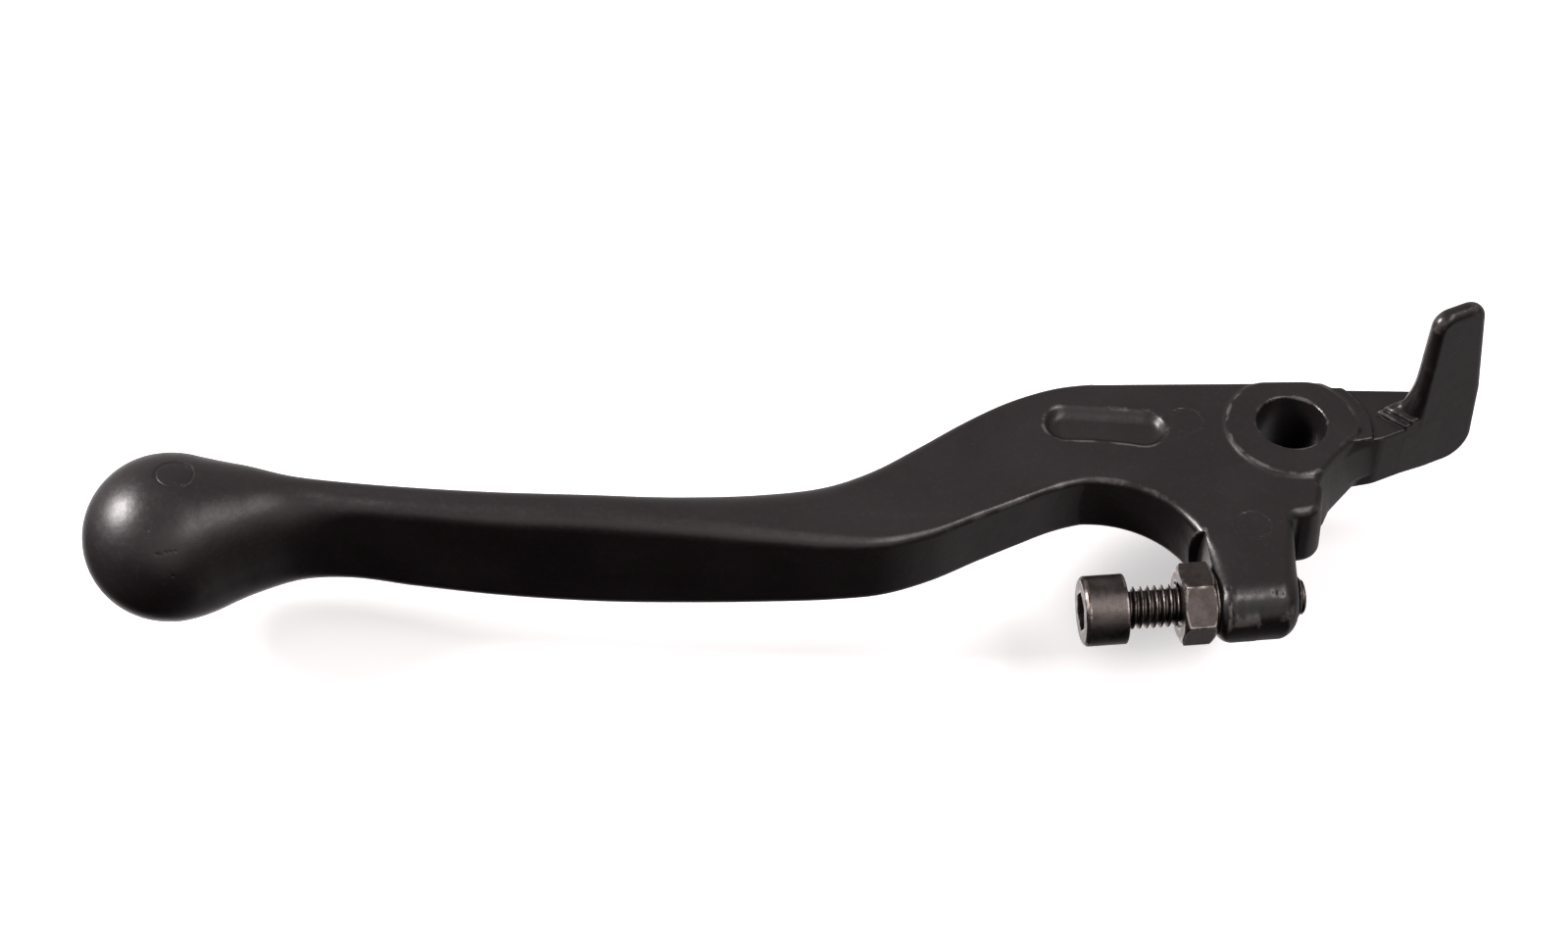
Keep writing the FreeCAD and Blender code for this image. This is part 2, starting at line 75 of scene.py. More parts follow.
def turned(x, y, cx, cy, degrees):
    """Coordinates in axes turned about Z, with their origin at (cx, cy)."""
    c, s = math.cos(math.radians(degrees)), math.sin(math.radians(degrees))
    return (x - cx) * c + (y - cy) * s, (y - cy) * c - (x - cx) * s


def outline_parts(corners, least_radius=0.05):
    """Lines and arcs of a closed outline, counterclockwise, through (x, y, radius) corners."""
    lines, arcs, starts, ends = [], [], [], []
    count = len(corners)
    for i, (x, y, radius) in enumerate(corners):
        radius = max(radius, least_radius)
        here = np.array((x, y), float)
        back = np.array(corners[i - 1][:2]) - here
        ahead = np.array(corners[(i + 1) % count][:2]) - here
        back /= np.linalg.norm(back)
        ahead /= np.linalg.norm(ahead)
        half = math.acos(np.clip(back @ ahead, -1, 1)) / 2
        reach = radius / math.tan(half)
        middle = back + ahead
        middle /= np.linalg.norm(middle)
        starts.append(here + back * reach)
        ends.append(here + ahead * reach)
        centre = here + middle * radius / math.sin(half)
        convex = back[0] * ahead[1] - back[1] * ahead[0] < 0
        arcs.append((centre, radius, -middle, math.pi / 2 - half, convex))
    for i in range(count):
        lines.append((ends[i], starts[(i + 1) % count]))
    return lines, arcs


def outline_distance(parts, x, y):
    """Signed distance to the outline, negative inside."""
    lines, arcs = parts
    best = np.full(x.shape, FAR_AWAY, x.dtype)
    sign = np.ones(x.shape, x.dtype)
    for a, b in lines:
        run = b - a
        length = math.hypot(*run)
        if length < 1e-6:
            continue
        ux, uy = run / length
        along = np.clip((x - a[0]) * ux + (y - a[1]) * uy, 0, length)
        dx, dy = x - a[0] - along * ux, y - a[1] - along * uy
        gap = np.hypot(dx, dy)
        nearer = gap < best
        best = np.where(nearer, gap, best)
        side = (x - a[0]) * uy - (y - a[1]) * ux
        sign = np.where(nearer, np.sign(side), sign)
    for centre, radius, middle, spread, convex in arcs:
        dx, dy = x - centre[0], y - centre[1]
        away = np.hypot(dx, dy)
        inside = (dx * middle[0] + dy * middle[1]) >= away * math.cos(spread)
        gap = np.where(inside, np.abs(away - radius), FAR_AWAY)
        nearer = gap <= best
        best = np.where(nearer, gap, best)
        side = np.sign(away - radius) * (1 if convex else -1)
        sign = np.where(nearer, side, sign)
    return best * sign


# ---------------------------------------------------------------- the blade and the ball

BALL_X, BALL_Y, BALL_RADIUS = -160.85, -2.6, 11.95
BLADE_START, BLADE_END = -161.0, -27.0

# Sections of the blade: X, bar side, finger side, half height, depth and rise of the elliptical
# rounding of the upper bar-side edge, depth and rise of the two finger-side edges' rounding, and
# the radius of the lower bar-side edge.
STATIONS = np.array((
    (-164.0, -14.13, 8.93, 11.53, 11.4, 11.5, 11.5, 11.5, 11.4),
    (-161.0, -14.55, 9.35, 11.95, 11.85, 11.9, 11.9, 11.9, 11.8),
    (-158.0, -14.2, 9.0, 11.75, 11.4, 11.7, 11.4, 11.7, 11.5),
    (-155.0, -13.0, 7.85, 11.2, 10.1, 11.1, 10.2, 11.0, 10.4),
    (-152.0, -11.4, 6.8, 10.65, 8.6, 10.5, 9.2, 10.4, 9.5),
    (-149.0, -9.95, 5.8, 10.1, 7.2, 9.9, 8.1, 9.9, 8.5),
    (-143.0, -7.65, 3.1, 9.2, 5.4, 8.2, 5.7, 9.0, 6.2),
    (-136.0, -7.0, 1.0, 8.75, 2.6, 2.8, 4.3, 8.5, 3.8),
    (-127.0, -8.8, -0.95, 9.0, 2.3, 2.2, 4.4, 8.7, 3.2),
    (-115.0, -11.3, -3.05, 9.3, 2.8, 2.4, 4.7, 8.9, 3.1),
    (-101.0, -13.5, -4.95, 9.5, 3.1, 2.8, 5.0, 8.7, 3.0),
    (-88.0, -15.4, -5.85, 8.7, 2.8, 2.6, 5.8, 7.0, 2.7),
    (-77.0, -16.9, -5.8, 7.7, 2.4, 2.2, 5.8, 5.8, 2.4),
    (-68.0, -17.9, -4.9, 6.8, 2.1, 1.9, 4.8, 4.8, 2.1),
    (-61.0, -18.0, -2.6, 6.2, 1.5, 1.5, 3.6, 3.6, 1.9),
    (-54.0, -16.4, 1.25, 5.7, 1.2, 1.2, 2.6, 2.6, 1.7),
    (-47.0, -13.5, 5.4, 5.4, 1.0, 1.0, 2.0, 2.0, 1.5),
    (-41.0, -11.1, 8.4, 5.25, 0.9, 0.9, 1.6, 1.6, 1.4),
    (-36.0, -9.2, 10.1, 5.2, 0.9, 0.9, 1.3, 1.3, 1.4),
    (-32.0, -8.25, 10.95, 5.2, 0.9, 0.9, 1.2, 1.2, 1.4),
    (-27.5, -7.9, 11.2, 5.2, 0.9, 0.9, 1.2, 1.2, 1.4),
    (-23.0, -7.9, 11.0, 5.2, 0.9, 0.9, 1.2, 1.2, 1.4),
))


def smooth_table(rows, spacing=0.1):
    """The rows resampled along X by a cubic with the rows' own slopes."""
    x = rows[:, 0]
    fine = np.arange(x[0], x[-1] + spacing / 2, spacing)
    index = np.clip(np.searchsorted(x, fine, side="right") - 1, 0, len(x) - 2)
    step = np.diff(x)
    secant = np.diff(rows[:, 1:], axis=0) / step[:, None]
    slopes = np.vstack((secant[:1], (secant[1:] + secant[:-1]) / 2, secant[-1:]))
    h = step[index][:, None]
    t = ((fine - x[index]) / step[index])[:, None]
    value = (
        (1 + 2 * t) * (1 - t) ** 2 * rows[index, 1:]
        + t * (1 - t) ** 2 * h * slopes[index]
        + t * t * (3 - 2 * t) * rows[index + 1, 1:]
        + t * t * (t - 1) * h * slopes[index + 1]
    )
    return fine, value


FINE_X, FINE = smooth_table(STATIONS)


def corner_distance(u, v, a, b):
    """Distance from an ellipse's quarter with semi-axes a and b, u and v from its middle."""
    p, q = u / a, v / b
    level = np.hypot(p, q)
    steepness = np.hypot(p / a, q / b) / np.maximum(level, 1e-6)
    return (level - 1) / np.maximum(steepness, 1e-6)


def blade(x, y, z):
    """The blade, from the ball to the web."""
    columns = (np.interp(x, FINE_X, FINE[:, k]) for k in range(FINE.shape[1]))
    near, far, half, near_depth, near_rise, far_depth, far_rise, lower = columns
    up = np.abs(z)
    flat = np.maximum(up - half, np.maximum(near - y, y - far))
    u, v = y - (far - far_depth), up - (half - far_rise)
    flat = np.where((u > 0) & (v > 0), corner_distance(u, v, far_depth, far_rise), flat)
    depth, rise = np.where(z > 0, near_depth, lower), np.where(z > 0, near_rise, lower)
    u, v = (near + depth) - y, up - (half - rise)
    flat = np.where((u > 0) & (v > 0), corner_distance(u, v, depth, rise), flat)
    return np.maximum(flat, np.maximum(BLADE_START - x, x - BLADE_END))


def ball_end(x, y, z):
    return np.sqrt((x - BALL_X) ** 2 + (y - BALL_Y) ** 2 + z * z) - BALL_RADIUS


# ---------------------------------------------------------------- the web, the ear and the boss

PLATE_HALF = 5.2
EAR_MIDDLE_Y = -28.3
BOSS_HALF = 5.7
BOSS_Y = -0.55
BOSS_RIM = 9.4
BORE_RADIUS = 5.0
HOLE_Y, HOLE_RADIUS = -27.6, 3.05
SPOT_FACE_X, SPOT_FACE_RADIUS = -16.4, 10.0

WEB = outline_parts((
    (-33.0, -8.25, 0),
    (-16.7, -8.25, 15.0),
    (-16.7, -34.5, 0),
    (-5.6, -34.5, 0),
    (-3.5, -17.1, 1.3),
    (0.75, -16.6, 2.7),
    (2.1, -11.8, 1.0),
    (14.0, 0.0, 0.3),
    (11.6, 8.15, 6.0),
    (-27.5, 11.25, 12.0),
    (-33.0, 10.8, 0),
))


def web_plate(x, y, z, web_flat):
    """The web and the ear that holds the screw: a round-ended bar, its gate trimmed to a flat."""
    cap = np.where(y < EAR_MIDDLE_Y, np.hypot(y - EAR_MIDDLE_Y, z), np.abs(z)) - PLATE_HALF
    crisp = 0.5 * np.clip((-17.5 - x) / 3, 0, 1) * (z > 0) * (y < 0)
    toward_ear = smooth(np.clip((-19.0 - y) / 7.0, 0, 1))
    rounding = np.where(y > 4, 1.2, 1.4) - crisp + toward_ear * np.where(x < -11, 1.0, 1.5)
    web = soft_and(web_flat, cap, rounding)
    ripple = 0.025 * np.sin(x * 1.7) + 0.015 * np.sin(x * 4.1 + 1.0)
    gate_flat = -0.805 * y + 0.594 * z - 27.66 + ripple
    return soft_and(web, np.minimum(gate_flat, x + 14.9), 0.35)


def relieved_wall(x, y, z):
    """The hollow relief beside the boss, with its lower end: negative where metal may stay."""
    hollow = 30.0 - np.hypot(x - 26.2, y + 27.8) + 0.22 * (z - 5.5)
    return np.minimum(hollow, x * 0.669 + y * 0.743 + 7.1)


def web_and_boss(x, y, z, draft, long_part):
    """The blade and the ball joined to the web, with the boss faced proud of it and bevelled."""
    up = np.abs(z)
    flare = np.clip((x + 4) / 2, 0, 1) * np.clip((-9 - y) / 2, 0, 1)
    web_flat = outline_distance(WEB, x, y) + draft - 0.085 * flare * (PLATE_HALF - z)
    wall = relieved_wall(x, y, z)
    web = soft_and(np.minimum(long_part, web_plate(x, y, z, web_flat)), wall, 0.9)

    off_axis = np.hypot(x, y - BOSS_Y)
    bevel = 0.59 * (off_axis - BOSS_RIM) + 0.807 * (up - BOSS_HALF)
    boss = np.maximum(soft_and(up - BOSS_HALF, bevel, 0.15), off_axis - 11.2)
    boss = soft_and(soft_and(boss, wall, 0.9), web_flat + 0.35, 0.9)

    # On the tail's side the bevel runs down to the neck.
    tail_side = (x > 2) & (y > -9)
    shoulder = np.where(tail_side, soft_and(bevel, off_axis - 11.35, 0.3), -9.0)
    return soft_or(np.maximum(web, shoulder), boss, 0.15)


def machined(shape, x, y, z):
    """The shape with its pivot bore, the nut's spot face and the screw's hole cut."""
    ring = np.hypot(x, y)
    shape = soft_and(shape, BORE_RADIUS - ring, 0.12)
    countersink = BORE_RADIUS + 0.25 - ring + np.minimum(np.abs(z), 6.4) - BOSS_HALF
    shape = np.maximum(shape, countersink * 0.7071)
    off_screw = np.hypot(y - HOLE_Y, z)
    spot = np.maximum(off_screw - SPOT_FACE_RADIUS, np.abs(x - (SPOT_FACE_X - 2.0)) - 2.0)
    shape = np.maximum(shape, -spot)
    return np.maximum(shape, HOLE_RADIUS - np.where((x < -1) & (x > -24), off_screw, 9.0))


# ---------------------------------------------------------------- the neck and the tab

NECK_TOP, NECK_BOTTOM = 4.75, -5.4
LEDGE_RADIUS, LEDGE_TOP = 11.6, 5.2
TAB_FOOT_X, TAB_FOOT_Y, TAB_TURN = 12.7, -3.5, 20.0
TAB_HALF = 1.55

NECK = outline_parts((
    (4.0, -4.6, 0),
    (12.7, -3.5, 6.0),
    (22.0, -0.12, 0),
    (23.4, 2.4, 0),
    (20.2, 5.45, 2.0),
    (4.0, 7.25, 0),
))
# The tab's outline in its own upright plane.
TAB = outline_parts((
    (3.0, -5.5, 0),
    (9.5, -6.1, 3.0),
    (17.4, -6.1, 4.4),
    (16.4, 8.0, 8.0),
    (13.3, 25.8, 2.9),
    (5.35, 25.8, 2.7),
    (5.5, 4.0, 0),
    (3.0, 4.0, 0),
))
# The stepped pad at the tab's root: the start and end along the tab, the back, and the top.
PAD_BLOCKS = ((3.5, 7.2, 4.3, 6.1), (2.6, 6.6, 4.5, 5.45))


def neck_and_tab(x, y, z):
    """The tail: the neck with its ledge beside the boss, the stepped pad, and the upright tab."""
    side = outline_distance(NECK, x, y)
    neck = soft_and(soft_and(side, z - NECK_TOP, 0.35), NECK_BOTTOM - z, 0.8)
    ledge = soft_and(side, np.hypot(x, y - BOSS_Y) - LEDGE_RADIUS, 0.15)
    raised = soft_and(ledge, z - LEDGE_TOP, 0.2)

    along, across = turned(x, y, TAB_FOOT_X, TAB_FOOT_Y, TAB_TURN)
    slant = along + 0.45 * (across - 2.7)
    for start, end, back, top in PAD_BLOCKS:
        block = np.maximum(np.maximum(start - slant, along - end), across - back)
        block = soft_and(block, side + 0.02, 0.2)
        raised = np.minimum(raised, soft_and(block, z - top, 0.3))
    tail = np.minimum(neck, np.maximum(raised, -z))

    # The tab thins upwards, and its far side spreads at the foot.
    lean = 0.02 * np.maximum(z - 6, 0)
    foot = np.clip((13.5 - z) / 8, 0, 1) ** 2 * np.clip(across / 3.1, 0, 1)
    foot = foot * np.clip((11 - along) / 2, 0, 1)
    thickness = np.abs(across - TAB_HALF + lean) - TAB_HALF + 0.5 * lean - 0.5 * foot
    tab = soft_and(outline_distance(TAB, along + 1.9 * foot, z), thickness, 1.3)
    fillet = np.clip(across / 3.0, 0, 1) * np.clip(z - 3.5, 0, 1)
    return soft_or(tail, tab, 0.05 + 1.2 * fillet * fillet)


# ---------------------------------------------------------------- recess, marks and the lever

RECESS_X, RECESS_Y, RECESS_TURN = -26.9, 2.3, -9.7
RECESS_FLOOR = 3.8

RECESS = outline_parts((
    (-8.7, -3.5, 3.3),
    (-1.0, -3.1, 9.0),
    (3.5, -3.35, 9.0),
    (9.0, -4.1, 3.4),
    (9.0, 3.5, 3.4),
    (-8.7, 3.5, 3.3),
))
# Ejector pin marks: the Z they lie above, their X, Y and radius, and their depth.
PIN_MARKS = (
    (3, -15.1, 2.15, 2.35, 0.12),
    (3, -9.5, -18.5, 2.4, 0.12),
    (6, -158.3, -1.3, 2.55, 0.13),
)
# Knocks on the ball and on the ear: place on the surface and size.
DENTS = (
    ((-160.6, -12.1, 7.2), 0.26),
    ((-160.1, -12.15, 7.1), 0.20),
    ((-159.4, -11.95, 7.3), 0.24),
    ((-158.8, -11.85, 7.3), 0.22),
    ((-158.1, -11.7, 7.2), 0.20),
    ((-161.7, -9.7, 9.6), 0.26),
    ((-158.9, -13.6, 4.2), 0.20),
    ((-9.0, -30.4, 4.6), 0.34),
    ((-8.1, -30.6, 4.5), 0.30),
    ((-15.0, -29.3, 4.9), 0.30),
)


def recess(x, y, z):
    """The oblong recess as a body to cut: a rounded rim, sloping sides and a dished floor."""
    u, v = turned(x, y, RECESS_X, RECESS_Y, RECESS_TURN)
    rim = outline_distance(RECESS, u, v)
    slopes = rim * 0.75 + (PLATE_HALF - z) * 0.66
    trough = soft_and(slopes, RECESS_FLOOR + 0.02 * v * v - z, 0.5)
    return np.maximum(trough, rim - 1.0)


def pin_mark(x, y, top, cx, cy, radius, depth, ring_width=0.16, edge_width=0.12):
    """The shallow ringed disc that an ejector pin leaves, as a height taken off the surface."""
    gap = np.hypot(x - cx, y - cy) - radius
    ring = np.exp(-(gap / ring_width) ** 2) * depth
    inside = 0.5 - 0.5 * np.tanh(gap / edge_width)
    return np.where(top, ring + inside * depth * 0.45, 0.0)


def dent(x, y, z, place, size):
    """A shallow knock in the paint: a smooth dip about a point of the surface, as a height."""
    gap = (x - place[0]) ** 2 + (y - place[1]) ** 2 + (z - place[2]) ** 2
    return size * 0.35 * np.exp(-gap / (size * size))


def lever_distance(x, y, z):
    """Signed distance to the finished casting."""
    draft = 0.02 * np.abs(z)
    long_part = np.minimum(ball_end(x, y, z), blade(x, y, z))
    core = web_and_boss(x, y, z, draft, long_part)
    fillet = np.clip(4.4 - z, 0, 1) * np.clip(z + 3.6, 0, 1) * np.clip(1 - y, 0, 1)
    shape = soft_or(core, neck_and_tab(x, y, z), 0.2 + 1.6 * fillet)
    shape = soft_and(machined(shape, x, y, z), -recess(x, y, z), 0.3)
    marks = 0.0
    for least_z, *mark in PIN_MARKS:
        marks = marks + pin_mark(x, y, z > least_z, *mark)
    for place, size in DENTS:
        marks = marks + dent(x, y, z, place, size)
    return shape + marks


# ---------------------------------------------------------------- meshing

def near_surface(distance, low, high, voxel, block=4, batch=6000):
    """The field on a regular grid, worked out finely only in blocks that the surface may cross."""
    counts = [int(math.ceil((b - a) / voxel / block)) * block for a, b in zip(low, high)]
    centre = [
        a + (np.arange(n // block) + 0.5) * block * voxel - voxel / 2
        for a, n in zip(low, counts)
    ]
    cx, cy, cz = np.meshgrid(*centre, indexing="ij")
    coarse = distance(cx.ravel(), cy.ravel(), cz.ravel()).reshape(cx.shape)
    field = np.repeat(np.repeat(np.repeat(coarse, block, 0), block, 1), block, 2)
    field = field.astype(np.float32)
    half_diagonal, steepest = 0.87, 1.6
    hits = np.argwhere(np.abs(coarse) < block * voxel * half_diagonal * steepest)
    offsets = np.stack(np.meshgrid(*[np.arange(block)] * 3, indexing="ij"), -1).reshape(-1, 3)
    for part in np.array_split(hits, max(1, len(hits) // batch)):
        index = (part[:, None, :] * block + offsets[None]).reshape(-1, 3)
        spots = np.array(low) + index * voxel
        field[index[:, 0], index[:, 1], index[:, 2]] = distance(*spots.T)
    return field


def slope(distance, spots, h=0.03):
    """Unit gradient of the field at the points."""
    parts = []
    for axis in range(3):
        step = np.zeros(3)
        step[axis] = h
        parts.append(distance(*(spots + step).T) - distance(*(spots - step).T))
    gradient = np.stack(parts, -1)
    return gradient / np.maximum(np.linalg.norm(gradient, axis=1, keepdims=True), 1e-9)


def sharpness(distance, spots, h=0.45, gentle=0.35):
    """How much the surface bulges here: 0 where flat or hollow, 1 on a crisp outer edge."""
    bend = -6 * distance(*spots.T)
    for axis in range(3):
        step = np.zeros(3)
        step[axis] = h
        bend += distance(*(spots + step).T) + distance(*(spots - step).T)
    return np.clip(bend / (h * h) - gentle, 0, 1)


def mesh_from_field(name, distance, low, high, voxel, body):
    """A smooth-shaded mesh of the field's surface, riding on a body."""
    grid = openvdb.FloatGrid(3.0)
    grid.copyFromArray(near_surface(distance, low, high, voxel))
    points, quads = grid.convertToQuads(0.0)
    points = np.array(low) + np.asarray(points, float) * voxel
    for _ in range(3):
        gap = distance(*points.T)
        points -= slope(distance, points) * np.clip(gap, -voxel / 2, voxel / 2)[:, None]
    normals = slope(distance, points, voxel * 0.4)
    quads = np.asarray(quads)
    edge_a = points[quads[:, 2]] - points[quads[:, 0]]
    edge_b = points[quads[:, 3]] - points[quads[:, 1]]
    outward = np.einsum("ij,ij->i", np.cross(edge_a, edge_b), normals[quads[:, 0]])
    if np.median(outward) < 0:
        quads = quads[:, ::-1]
    mesh = bpy.data.meshes.new(name)
    mesh.from_pydata((points * MM).tolist(), [], quads.tolist())
    mesh.update()
    mesh.shade_smooth()
    mesh.normals_split_custom_set_from_vertices(normals.tolist())
    edge = mesh.attributes.new("edge", "FLOAT", "POINT")
    edge.data.foreach_set("value", sharpness(distance, points).astype(np.float32))
    piece = bpy.data.objects.new(name, mesh)
    bpy.context.scene.collection.objects.link(piece)
    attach(piece, body)
    return piece


# ---------------------------------------------------------------- the screw and the nut

SCREW_LOW, SCREW_HIGH = (np.array(c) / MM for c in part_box("adjuster_screw"))
NUT_LOW, NUT_HIGH = (np.array(c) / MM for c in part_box("lock_nut"))
AXIS_Y = (SCREW_LOW[1] + SCREW_HIGH[1]) / 2
SCREW_START, SCREW_END = SCREW_LOW[0], SCREW_HIGH[0]
HEAD_RADIUS = (SCREW_HIGH[1] - SCREW_LOW[1]) / 2
HEAD_END = SCREW_START + 6.0
SOCKET_FLATS, SOCKET_TURN, SOCKET_DEPTH, DRILL_RADIUS = 5.0, 62.0, 3.2, 2.3
THREAD_RADIUS, THREAD_DEPTH, PITCH = 2.94, 0.74, 1.0
TIP_BEVEL = 0.75
NUT_START = NUT_LOW[0]
NUT_FLATS, NUT_TURN = 10.0, -14.0
NUT_BODY_HALF, NUT_HALF = 2.35, 2.5
SIN_45, SIN_30, COS_30 = 0.7071, 0.5, 0.866


def hexagon_distance(y, z, flats, degrees):
    """Distance to a hexagon about the X axis, given across flats, one corner at the angle."""
    best = np.full(y.shape, -FAR_AWAY)
    for k in range(6):
        a = math.radians(degrees + 30 + 60 * k)
        best = np.maximum(best, y * math.cos(a) + z * math.sin(a) - flats / 2)
    return best


def thread_radius(x, y, z):
    """Radius of the right-hand thread, its roots rounded, along and about the axis."""
    turn = np.arctan2(z, y) / (2 * math.pi)
    phase = np.abs(((x - HEAD_END) / PITCH + turn) % 1.0 - 0.5) * 2
    ramp = np.clip((phase - 0.13) / 0.74, 0, 1)
    return THREAD_RADIUS - THREAD_DEPTH * (smooth(ramp) * 0.35 + ramp * 0.65)


def screw_distance(x, y, z):
    """The socket head screw: turned head with a hexagon socket, and a helical thread."""
    side = y - AXIS_Y
    out = np.hypot(side, z)
    head = soft_and(out - HEAD_RADIUS + 0.02, x - HEAD_END, 0.18)
    bevel = (out - HEAD_RADIUS + 0.45 + SCREW_START - x) * SIN_45
    head = soft_and(soft_and(head, bevel, 0.1), SCREW_START - x, 0.1)
    hexagon = hexagon_distance(side, z, SOCKET_FLATS, SOCKET_TURN)
    bottom = x - SCREW_START - SOCKET_DEPTH
    drilled = np.maximum(out - DRILL_RADIUS, bottom - (DRILL_RADIUS - out) * 0.55)
    head = np.maximum(soft_and(head, -np.maximum(hexagon, bottom), 0.1), -drilled)
    shank = (out - thread_radius(x, side, z)) * 0.62
    shank = np.maximum(shank, np.maximum(HEAD_END - 0.5 - x, x - SCREW_END))
    shank = np.maximum(shank, (out - THREAD_RADIUS + TIP_BEVEL + x - SCREW_END) * SIN_45)
    heart = np.maximum(out - 2.30, np.maximum(HEAD_END - 0.5 - x, x - SCREW_END + 0.05))
    collar = np.maximum(out - THREAD_RADIUS, np.maximum(HEAD_END - 0.5 - x, x - HEAD_END - 0.35))
    return np.minimum(head, np.minimum(np.minimum(shank, heart), collar))


def nut_distance(x, y, z):
    """The lock nut: a chamfered hexagon with a washer face and a countersunk bore."""
    side = y - AXIS_Y
    out = np.hypot(side, z)
    body_end = np.abs(x - NUT_START - NUT_BODY_HALF) - NUT_BODY_HALF
    body = soft_and(hexagon_distance(side, z, NUT_FLATS, NUT_TURN), body_end, 0.1)
    body = soft_and(body, (out - 4.85) * SIN_30 + body_end * COS_30, 0.1)
    washer_face = np.maximum(out - 4.45, np.abs(x - NUT_START - 3.5) - 1.5)
    body = np.minimum(body, washer_face)
    sink = (3.35 - out + np.abs(x - NUT_START - NUT_HALF) - NUT_HALF) * SIN_45
    return np.maximum(np.maximum(body, 3.02 - out), sink)


# ---------------------------------------------------------------- the pieces

MARGIN = 0.5

lever = mesh_from_field(
    "lever_casting", lever_distance, (-174.0, -35.0, -13.0), (30.0, 12.5, 27.0), VOXEL, "lever"
)
screw = mesh_from_field(
    "socket_head_screw", screw_distance,
    SCREW_LOW - MARGIN, SCREW_HIGH + MARGIN, FASTENER_VOXEL, "adjuster_screw",
)
nut = mesh_from_field(
    "hexagon_lock_nut", nut_distance,
    NUT_LOW - MARGIN, NUT_HIGH + MARGIN, FASTENER_VOXEL, "lock_nut",
)
for piece, node, slot in (
    (lever, "lever", "black_coating"),
    (screw, "adjuster_screw", "black_oxide_steel"),
    (nut, "lock_nut", "black_oxide_steel"),
):
    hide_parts(node)


# ---------------------------------------------------------------- materials

def set_range(node, low, high, to_low, to_high):
    """Make a Map Range node lay low to high over to_low to to_high, smoothly."""
    node.interpolation_type = "SMOOTHSTEP"
    names = ("From Min", "From Max", "To Min", "To Max")
    for name, value in zip(names, (low, high, to_low, to_high)):
        node.inputs[name].default_value = value


class Shading:
    """A material's node tree, with short calls for the nodes that the finishes share."""

    def __init__(self, name):
        self.material = bpy.data.materials.new(name)
        self.material.use_nodes = True
        self.tree = self.material.node_tree
        self.shader = self.tree.nodes["Principled BSDF"]
        self.place = self.tree.nodes.new("ShaderNodeTexCoord").outputs["Object"]

    def link(self, source, target):
        self.tree.links.new(source, target)

    def noise(self, scale, detail=2.0, rough=0.5, stretch=None):
        """Noise over the piece, scale in features to the metre."""
        node = self.tree.nodes.new("ShaderNodeTexNoise")
        node.inputs["Scale"].default_value = scale
        node.inputs["Detail"].default_value = detail
        node.inputs["Roughness"].default_value = rough
        source = self.place
        if stretch:
            mapping = self.tree.nodes.new("ShaderNodeMapping")
            mapping.inputs["Scale"].default_value = stretch
            self.link(source, mapping.inputs["Vector"])
            source = mapping.outputs["Vector"]
        self.link(source, node.inputs["Vector"])
        return node.outputs["Fac"]

    def spread(self, source, low, high, to_low, to_high):
        """The value's range low to high laid over to_low to to_high, and held outside it."""
        node = self.tree.nodes.new("ShaderNodeMapRange")
        set_range(node, low, high, to_low, to_high)
        self.link(source, node.inputs["Value"])
        return node.outputs["Result"]

    def math(self, kind, a, b):
        """Two values joined by a Math node; either may be a plain number."""
        node = self.tree.nodes.new("ShaderNodeMath")
        node.operation = kind
        for source, socket in zip((a, b), node.inputs):
            if isinstance(source, (int, float)):
                socket.default_value = source
            else:
                self.link(source, socket)
        return node.outputs["Value"]

    def blend(self, factor, first, second):
        """Colours mixed by a factor; either may be a plain colour."""
        node = self.tree.nodes.new("ShaderNodeMix")
        node.data_type = "RGBA"
        self.link(factor, node.inputs["Factor"])
        for source, socket in zip((first, second), (node.inputs[6], node.inputs[7])):
            if isinstance(source, tuple):
                socket.default_value = (*source, 1)
            else:
                self.link(source, socket)
        return node.outputs[2]

    def wear(self, scale, detail, rough, low, high, least):
        """How rubbed the surface is: its outer edges, broken up by noise. On the coating this mask
        also places a painted highlight along the edges.
        """
        node = self.tree.nodes.new("ShaderNodeAttribute")
        node.attribute_name = "edge"
        patchy = self.spread(self.noise(scale, detail, rough), low, high, least, 1.0)
        return self.math("MULTIPLY", node.outputs["Fac"], patchy)

    def roughness(self, dull, worn, polish):
        """Roughness of the dull surface, less the polish where it is worn."""
        shine = self.math("MULTIPLY", worn, polish)
        self.link(self.math("SUBTRACT", dull, shine), self.shader.inputs["Roughness"])

    def bumps(self, *layers):
        """Bumps one over another: pairs of a height and its size in metres."""
        normal = None
        for height, size in layers:
            node = self.tree.nodes.new("ShaderNodeBump")
            node.inputs["Strength"].default_value = 1.0
            node.inputs["Distance"].default_value = size
            self.link(height, node.inputs["Height"])
            if normal:
                self.link(normal, node.inputs["Normal"])
            normal = node.outputs["Normal"]
        self.link(normal, self.shader.inputs["Normal"])


